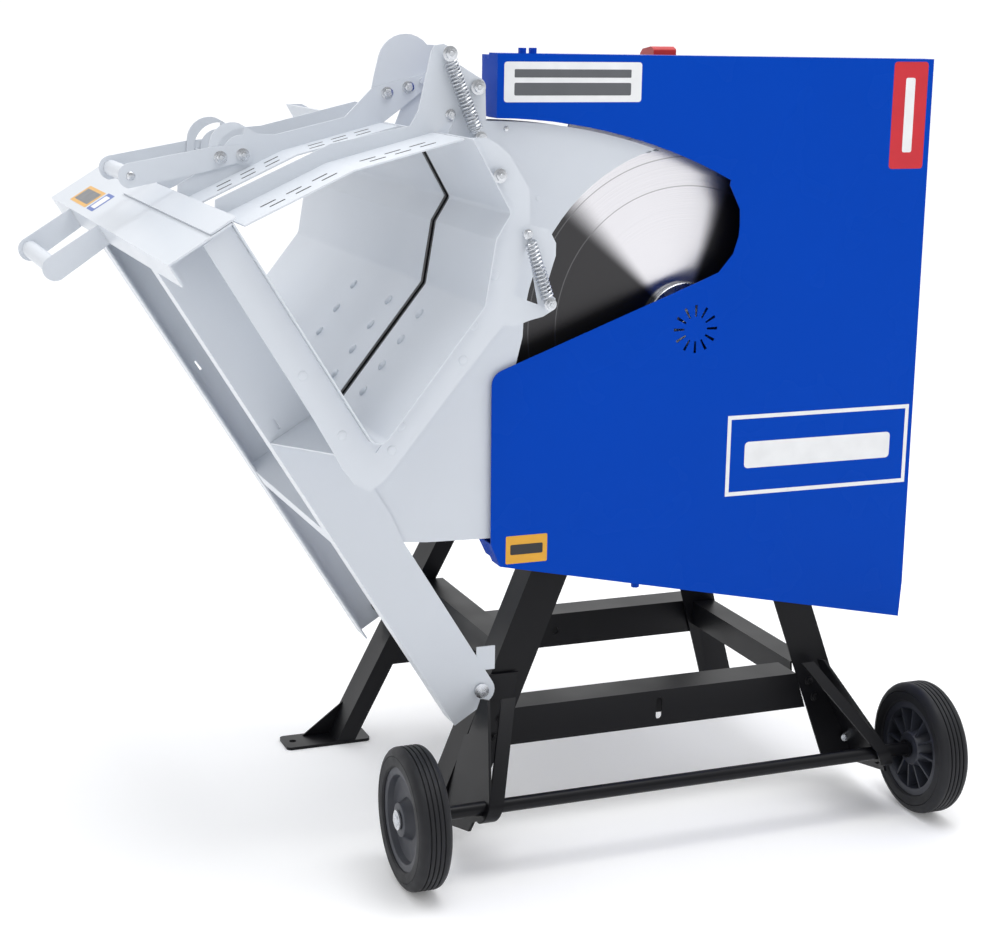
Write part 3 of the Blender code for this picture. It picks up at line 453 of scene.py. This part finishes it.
def wheel(side, x, outward):
    """Grooved tyre, ribbed plastic rim and the push nut that holds them on the axle."""
    half = WHEEL_WIDE / 2
    tread = [(72, half - 3), (74, half - 0.6), (76, half), (86, half), (87, half - 1), (88, half),
             (91, half - 0.6), (95, half - 2.4), (98, half - 5.2), (99.4, half - 8)]
    for height in (10, 3.4, -3.4, -10):
        tread += [(99.9, height + 2.6), (99.6, height + 1.0), (97.6, height + 0.7), (97.6, height - 0.7),
                  (99.6, height - 1.0), (99.9, height - 2.6)]
    tread += [(99.4, -half + 8), (98, -half + 5.2), (95, -half + 2.4), (91, -half + 0.6), (88, -half),
              (87, -half + 1), (86, -half), (76, -half), (74, -half + 0.6), (72, -half + 3)]
    tyre = turned(f"tyre {side}", tread, (x, 0, WHEEL_RADIUS), (1, 0, 0), PAINTS["tyre_rubber"], 144)
    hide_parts(f"tyre_{side}")
    fit(tyre, f"wheel_{side}")
    rim = [(10.3, half - 1), (22, half - 1), (23.4, half - 1.6), (24.4, half - 4), (26, half - 9),
           (30, 8.5), (36, 7.2), (55, 8.4), (59, 10.5), (62, half - 5), (64, half - 4), (71.7, half - 4),
           (71.7, -half + 4), (64, -half + 4), (62, -half + 5), (58, 1.5), (34, 1), (26, -half + 6),
           (24, -half + 3), (10.3, -half + 3)]
    middle = (x, 0, WHEEL_RADIUS)
    parts = [turned("body", rim, middle, (outward, 0, 0), PAINTS["black_plastic"])]
    outline = [(23, -19), (62, -17), (62, 3), (23, 3)]
    for i in range(RIBS):
        a = 2 * math.pi * i / RIBS
        u = Vector((0, math.sin(a), math.cos(a)))
        w = Vector((0, math.cos(a), -math.sin(a)))
        place = plane(u, (outward, 0, 0), w, middle)
        parts.append(flat("rib", [outline], 3.0, place, PAINTS["black_plastic"]))
    rim_piece = group(f"rim {side}", parts)
    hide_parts(f"rim_{side}")
    fit(rim_piece, f"wheel_{side}")
    nut = [(0, 5.9), (5, 5.7), (7.6, 4.6), (8.2, 3.2), (10.2, 2.7), (12.6, 3.1), (13.9, 2.4), (13.9, 0),
           (0, 0)]
    axle_end = (x + outward * (half + AXLE_PLAY), 0, WHEEL_RADIUS)
    fit(turned(f"push nut {side}", nut, axle_end, (outward, 0, 0), PAINTS["zinc"], 40), "stand")


def axle():
    """Black axle with a collar inside each wheel; the push nuts are pieces of their own."""
    half, collar = WHEEL_WIDE / 2 + AXLE_PLAY, 14
    ends = [(0, -half), (AXLE_RADIUS, -half), (AXLE_RADIUS, half), (collar - 1, half), (collar, half + 1),
            (collar, half + 2.6), (AXLE_RADIUS, half + 3)]
    profile = ends + [(radius, TRACK - height) for radius, height in ends[::-1]]
    rod = turned("axle rod", profile, (0, 0, WHEEL_RADIUS), (1, 0, 0), PAINTS["black_paint"], 32)
    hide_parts("axle")
    fit(rod, "stand")


wheel("left", 0.0, -1)
wheel("right", TRACK, 1)
axle()


# ---------------------------------------------------------------- guard labels

LABEL_GAP, LABEL_THICK, PRINT_LIFT = 0.12, 0.18, 0.15


def label(name, loops, material, lift=0.0):
    """A blank sticker, or a plain bar printed on one, on the guard's front face."""
    place = upright(GUARD_FACE - LABEL_GAP - lift)
    fit(flat(name, loops, LABEL_THICK, place, material), "stand")


def block(left, right, bottom, top, radius=1.0):
    return [round_box(left, right, bottom, top, radius, 3)]


label("top label", block(163, 368, 1064, 1118, 4), STICKER_WHITE)
label("top label bar", block(178, 352, 1097, 1108, 1), STICKER_GREY, PRINT_LIFT)
label("top label field", block(178, 352, 1073, 1090, 2), STICKER_GREY, PRINT_LIFT)
label("side label", block(775, 833, 966, 1121, 5), STICKER_RED)
label("side label bar", block(796, 812, 990, 1098, 3), STICKER_WHITE, PRINT_LIFT)
outer = [(526, 487), (837, 487), (837, 609), (526, 609)]
inner = [(532, 493), (831, 493), (831, 603), (532, 603)]
label("panel frame", [outer, inner], STICKER_WHITE)
label("panel bar", block(556, 806, 528, 568, 6), STICKER_WHITE)
label("lower label", block(177, 241, 414, 455, 2), STICKER_YELLOW)
label("lower label bar", block(184, 234, 427, 442, 2), STICKER_BLACK, PRINT_LIFT)


# ---------------------------------------------------------------- cradle details

DIMPLE_STEP, DIMPLE_RADIUS, DIMPLE_HEIGHT = 43.0, 7.5, 4.2
DIMPLE_COLUMNS = (105, 238, 403)
DIMPLES_EACH = 4


def dimples():
    """Pressed dimples that keep the log from turning, in columns beside the blade slot."""
    pieces = []
    for first, last in ((1, 2), (1, 0)):
        start, end = Vector(TROUGH[first]), Vector(TROUGH[last])
        direction = (end - start).normalized()
        inward = Vector((-direction.y, direction.x)) * (1 if last > first else -1)
        for i in range(1, DIMPLES_EACH + 1):
            spot = end - direction * (DIMPLE_STEP * i)
            for y in DIMPLE_COLUMNS:
                pieces.append(dome("dimple", (spot.x, y, spot.y), (inward.x, 0, inward.y),
                                   DIMPLE_RADIUS, DIMPLE_HEIGHT, PAINTS["white_paint"]))
    return group("trough dimples", pieces)


fit(dimples(), "cradle")

# sizes in millimetres of the painted shade strips below the blade slot
SHADE_STRIP_GAP, SHADE_STRIP_THICK, SHADE_STRIP_SIDE_GAP = 0.4, 3.0, 0.2
SHADE_STRIP_NEAR_EDGE, SHADE_STRIP_FAR_EDGE = 160.6, 171.0


def slot_shade_strips():
    """Black strips just below the trough across the blade slot, one on each side of the kerf: painted shade,
    dark sheets that stand for the shade seen through the slot.
    """
    points = [Vector(p) for p in TROUGH]

    def beside(distance):
        """The trough's section moved outwards by a distance."""
        shifted = []
        for i, point in enumerate(points):
            sides = []
            for j in (i - 1, i):
                if 0 <= j < len(points) - 1:
                    step = (points[j + 1] - points[j]).normalized()
                    sides.append(Vector((step.y, -step.x)))
            side = sum(sides, Vector((0, 0))).normalized()
            shifted.append(tuple(point + side * (distance / side.dot(sides[0]))))
        return shifted

    section = beside(SHADE_STRIP_GAP) + beside(SHADE_STRIP_GAP + SHADE_STRIP_THICK)[::-1]
    for name, near, far in (("near slot liner", SLOT_NEAR, SHADE_STRIP_NEAR_EDGE),
                            ("far slot liner", SHADE_STRIP_FAR_EDGE, SLOT_FAR)):
        wide = far - near - SHADE_STRIP_SIDE_GAP
        strip = flat(name, [section], wide, upright((near + far) / 2), SLOT_SHADE_BLACK)
        fit(strip, "cradle")


slot_shade_strips()

RIVETS = [(-171, 738), (-120, 659), (-42, 666), (-54, 635), (42, 747), (55, 791), (83, 855)]
for end, y, direction in (("end", -57.8, -1), ("far", 787.9, 1)):
    rivets = [dome("rivet", (x, y, z), (0, direction, 0), 6.5, 1.6, PAINTS["white_paint"]) for x, z in RIVETS]
    fit(group(f"{end} frame rivets", rivets), "cradle")
for name, place, direction, size in (("end frame bolt", (86, -65.2, 982), -1, 6.5),
                                     ("spring bolt lower", (158, -67.0, 816), -1, 6.0),
                                     ("spring bolt upper", (125, -67.0, 908), -1, 4.5),
                                     ("lug bolt", (96, 29.5, 1023), -1, 6.0),
                                     ("rear lug bolt", (97, 272.0, 1000), 1, 6.0)):
    fit(bolt(name, place, (0, direction, 0), size), "cradle")
fit(dome("cover screw", (170, 127.2, 1028), (0, -1, 0), 4.0, 1.6, PAINTS["zinc"]), "cradle")
cover_dimple = dome("cover dimple", (219, 127.4, 933), (0, -1, 0), 3.6, 0.8, PAINTS["white_paint"])
fit(cover_dimple, "cradle")
cover_spring = spring("cover spring", (126, -65.4, 906), (158, -65.4, 816), 7.4, 1.35, 15, PAINTS["zinc"])
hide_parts("cover_spring")
fit(cover_spring, "cradle")


def shelf_label(name, left, right, near, far, material, lift=0.0):
    """A blank sticker on the sloping plate at the top of the arms."""
    outline = round_box(left, right, near, far, 2, 3)
    place = plane(ACROSS, (0, 1, 0), ALONG, PIVOT, TOP_PLATE_HEIGHT + lift)
    fit(flat(name, [outline], 0.16, place, material), "cradle")


shelf_label("top plate yellow label", -52, -14, 560, 690, STICKER_YELLOW)
shelf_label("top plate yellow field", -46, -20, 572, 678, STICKER_GREY, 0.1)
shelf_label("top plate blue label", -52, -12, 500, 548, STICKER_BLUE)
shelf_label("top plate blue field", -46, -18, 508, 540, STICKER_WHITE, 0.1)


# ---------------------------------------------------------------- jaw details

SLIT_LENGTH, SLIT_WIDTH, SLIT_LIFT = 22.0, 4.8, 2.5
# each slit's middle across the machine, and how far the outer one of a pair is moved along
SLITS = ((-16, 0), (-40, 6), (208, 0), (236, 6))


def flange_slits():
    """Pairs of long slits in the jaw's flanges, drawn as thin dark patches that are painted shade for the
    inside of each slit.
    """
    pieces = []
    for first, last, shares in ((0, 1, (0.32, 0.56, 0.80)), (1, 2, (0.24, 0.47, 0.70))):
        start, end = Vector(JAW_UNDER[first]), Vector(JAW_UNDER[last])
        direction = (end - start).normalized()
        normal = Vector((-direction.y, direction.x))
        for share in shares:
            for y, slide in SLITS:
                spot = start + (end - start) * share + direction * slide + normal * SLIT_LIFT
                place = plane((direction.x, 0, direction.y), (0, 1, 0), (normal.x, 0, normal.y),
                              (spot.x, 0, spot.y))
                outline = round_box(-SLIT_LENGTH / 2, SLIT_LENGTH / 2, y - SLIT_WIDTH / 2, y + SLIT_WIDTH / 2,
                                    2.2, 4)
                # a dark patch of painted shade, not an opening
                pieces.append(flat("slit", [outline], 0.3, place, SLIT_PAINTED_SHADE))
    return group("jaw slits", pieces)


fit(flange_slits(), "jaw")
for name, place, size in (("jaw spring bolt", (52, 29.5, 1130), 7.0),
                          ("jaw hinge bolt", (97, 45, 1087), 7.0),
                          ("jaw fence bolt low", (45, 263.8, 1070), 6.0),
                          ("jaw fence bolt high", (76, 263.8, 1078), 6.0),
                          ("jaw lug bolt", (60, 47.8, 1052), 5.0)):
    fit(bolt(name, place, (0, -1, 0), size), "jaw")
for name, y in (("front", 37.5), ("rear", 61.5)):
    piece = spring(f"jaw spring {name}", (52, y, 1130), (96, y, 1023), 8.4, 1.4, 21, PAINTS["zinc"])
    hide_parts(f"jaw_spring_{name}")
    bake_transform(piece)


# the handle's pivot, and the stud that stands beside it on the handle plates, as (X, Z)
HANDLE_PIVOT = Vector((-163, 987))
STUD_REACH, STUD_BEARING = 31.5, math.radians(186)
stud = HANDLE_PIVOT + Vector((math.cos(STUD_BEARING), math.sin(STUD_BEARING))) * STUD_REACH
for name, y, direction in (("front", 260.8, -1), ("rear", 403.8, 1)):
    outward = (0, direction, 0)
    pivot_bolt = bolt(f"handle pivot bolt {name}", (HANDLE_PIVOT.x, y, HANDLE_PIVOT.y), outward, 6.5)
    fit(pivot_bolt, "clamp_handle")
    fit(bolt(f"handle stud bolt {name}", (stud.x, y, stud.y), outward, 6.5), "clamp_handle")
    grip_end = dome(f"grip end {name}", (-317, y, 961), outward, 6.0, 2.0, PAINTS["zinc"])
    fit(grip_end, "clamp_handle")


# ---------------------------------------------------------------- stand details

LEG_FOOT_Y, LEG_SLOPE = 112, 0.112
for name, x, z in (("left low", 168, 150), ("left high", 178, 176),
                   ("right low", 704, 150), ("right high", 694, 176)):
    place = (x, LEG_FOOT_Y + LEG_SLOPE * z, z)
    fit(bolt(f"rail bolt {name}", place, (0, -1, 0.1), 5.0, PAINTS["black_paint"]), "stand")
for name, x in (("left", 108), ("right", 755)):
    fit(bolt(f"bracket bolt {name}", (x, 114.5, 82), (0, -1, 0), 5.0), "stand")
for x, y, z in ((640, 186.2, 860), (300, 190.4, 560), (640, 190.4, 560)):
    fit(bolt(f"mount bolt {x} {z}", (x, y, z), (0, 1, 0), 6.0), "stand")
gland = dome("terminal gland", (480, 230, 1036), (1, 0, 0), 9, 8, PAINTS["black_plastic"])
fit(gland, "stand")


# ---------------------------------------------------------------- floor, light and camera

FLOOR_REACH, FLOOR_GLOW = 150, 0.12


def floor():
    """Wide pale floor with a faint glow, so that it meets the backdrop softly."""
    mesh = bpy.data.meshes.new("floor")
    work = bmesh.new()
    bmesh.ops.create_grid(work, x_segments=1, y_segments=1, size=FLOOR_REACH)
    work.to_mesh(mesh)
    work.free()
    paint = Paint("studio floor", (0.93, 0.93, 0.935), 0.85)
    paint.tint(paint.noise(0.6), 0.99, 1.01)
    paint.set(paint.shader, "Emission Color", (1, 1, 1, 1))
    paint.set(paint.shader, "Emission Strength", FLOOR_GLOW)
    mesh.materials.append(paint.material)
    obj = bpy.data.objects.new("floor", mesh)
    bpy.context.scene.collection.objects.link(obj)


floor()

SKY_NEAR, SKY_FAR, SKY_TOP = 0.40, 1.06, 0.45
BACKDROP_BEARING = (0.55, 0.83, 0)
BACKDROP_TOP, BACKDROP_SOLID = 0.14, 0.05


def studio_sky():
    """White studio: a bright backdrop band, brighter behind and overhead, softer on the near side."""
    world = bpy.data.worlds.new("studio")
    world.use_nodes = True
    tree = world.node_tree
    direction = tree.nodes.new("ShaderNodeTexCoord").outputs["Generated"]
    split = tree.nodes.new("ShaderNodeSeparateXYZ")
    tree.links.new(direction, split.inputs[0])
    height = split.outputs["Z"]
    bearing = tree.nodes.new("ShaderNodeVectorMath")
    bearing.operation = "DOT_PRODUCT"
    bearing.inputs[1].default_value = BACKDROP_BEARING
    tree.links.new(direction, bearing.inputs[0])

    def combine(operation, first, second):
        node = tree.nodes.new("ShaderNodeMath")
        node.operation = operation
        tree.links.new(first, node.inputs[0])
        tree.links.new(second, node.inputs[1])
        return node.outputs[0]

    behind = map_range(tree, bearing.outputs["Value"], (-0.5, 0.3), (SKY_NEAR, SKY_FAR), True)
    above = map_range(tree, height, (0.25, 1.0), (0.0, SKY_TOP))
    backdrop = map_range(tree, height, (BACKDROP_TOP, BACKDROP_SOLID), (0.0, SKY_FAR))
    background = tree.nodes["Background"]
    background.inputs["Color"].default_value = (0.985, 0.99, 1.0, 1)
    strength = combine("MAXIMUM", combine("ADD", behind, above), backdrop)
    tree.links.new(strength, background.inputs["Strength"])
    bpy.context.scene.world = world


studio_sky()
bpy.context.scene.view_settings.view_transform = "Standard"


def softbox(name, place, target, size, power):
    """A rectangular lamp of a size in metres and a power in watts, turned to its target."""
    data = bpy.data.lights.new(name, "AREA")
    data.shape = "RECTANGLE"
    data.size, data.size_y = size
    data.energy = power
    lamp = bpy.data.objects.new(name, data)
    lamp.location = place
    lamp.rotation_euler = (Vector(target) - Vector(place)).to_track_quat("-Z", "Y").to_euler()
    bpy.context.scene.collection.objects.link(lamp)


softbox("key", (0.3, -0.9, 3.9), (0, 0, 0.6), (2.4, 1.8), 52)
softbox("front", (-2.4, -2.8, 1.6), (0.1, 0, 0.6), (2.0, 1.6), 9)
softbox("back", (0.8, 3.4, 3.2), (0, 0, 0.6), (3.0, 2.0), 6)

CAMERA_PLACE = at(-830.4, -2380.6, 1188.0)
YAW, PITCH, ROLL = math.radians(21.73), math.radians(13.22), math.radians(-0.941)
FOCAL_LENGTH, SENSOR_WIDTH = 70.57, 36.0


def photo_camera():
    """Camera that looks to the rear, turned right by YAW, down by PITCH and tilted by ROLL."""
    level = Vector((math.cos(YAW), -math.sin(YAW), 0))
    forward = Vector((math.sin(YAW) * math.cos(PITCH), math.cos(YAW) * math.cos(PITCH), -math.sin(PITCH)))
    down = forward.cross(level)
    right = level * math.cos(ROLL) + down * math.sin(ROLL)
    down = down * math.cos(ROLL) - level * math.sin(ROLL)
    data = bpy.data.cameras.new("camera")
    data.lens = FOCAL_LENGTH
    data.sensor_width = SENSOR_WIDTH
    data.clip_end = 200
    camera = bpy.data.objects.new("camera", data)
    turn = Matrix((right, -down, -forward)).transposed().to_4x4()
    camera.matrix_world = Matrix.Translation(CAMERA_PLACE) @ turn
    bpy.context.scene.collection.objects.link(camera)
    bpy.context.scene.camera = camera


photo_camera()
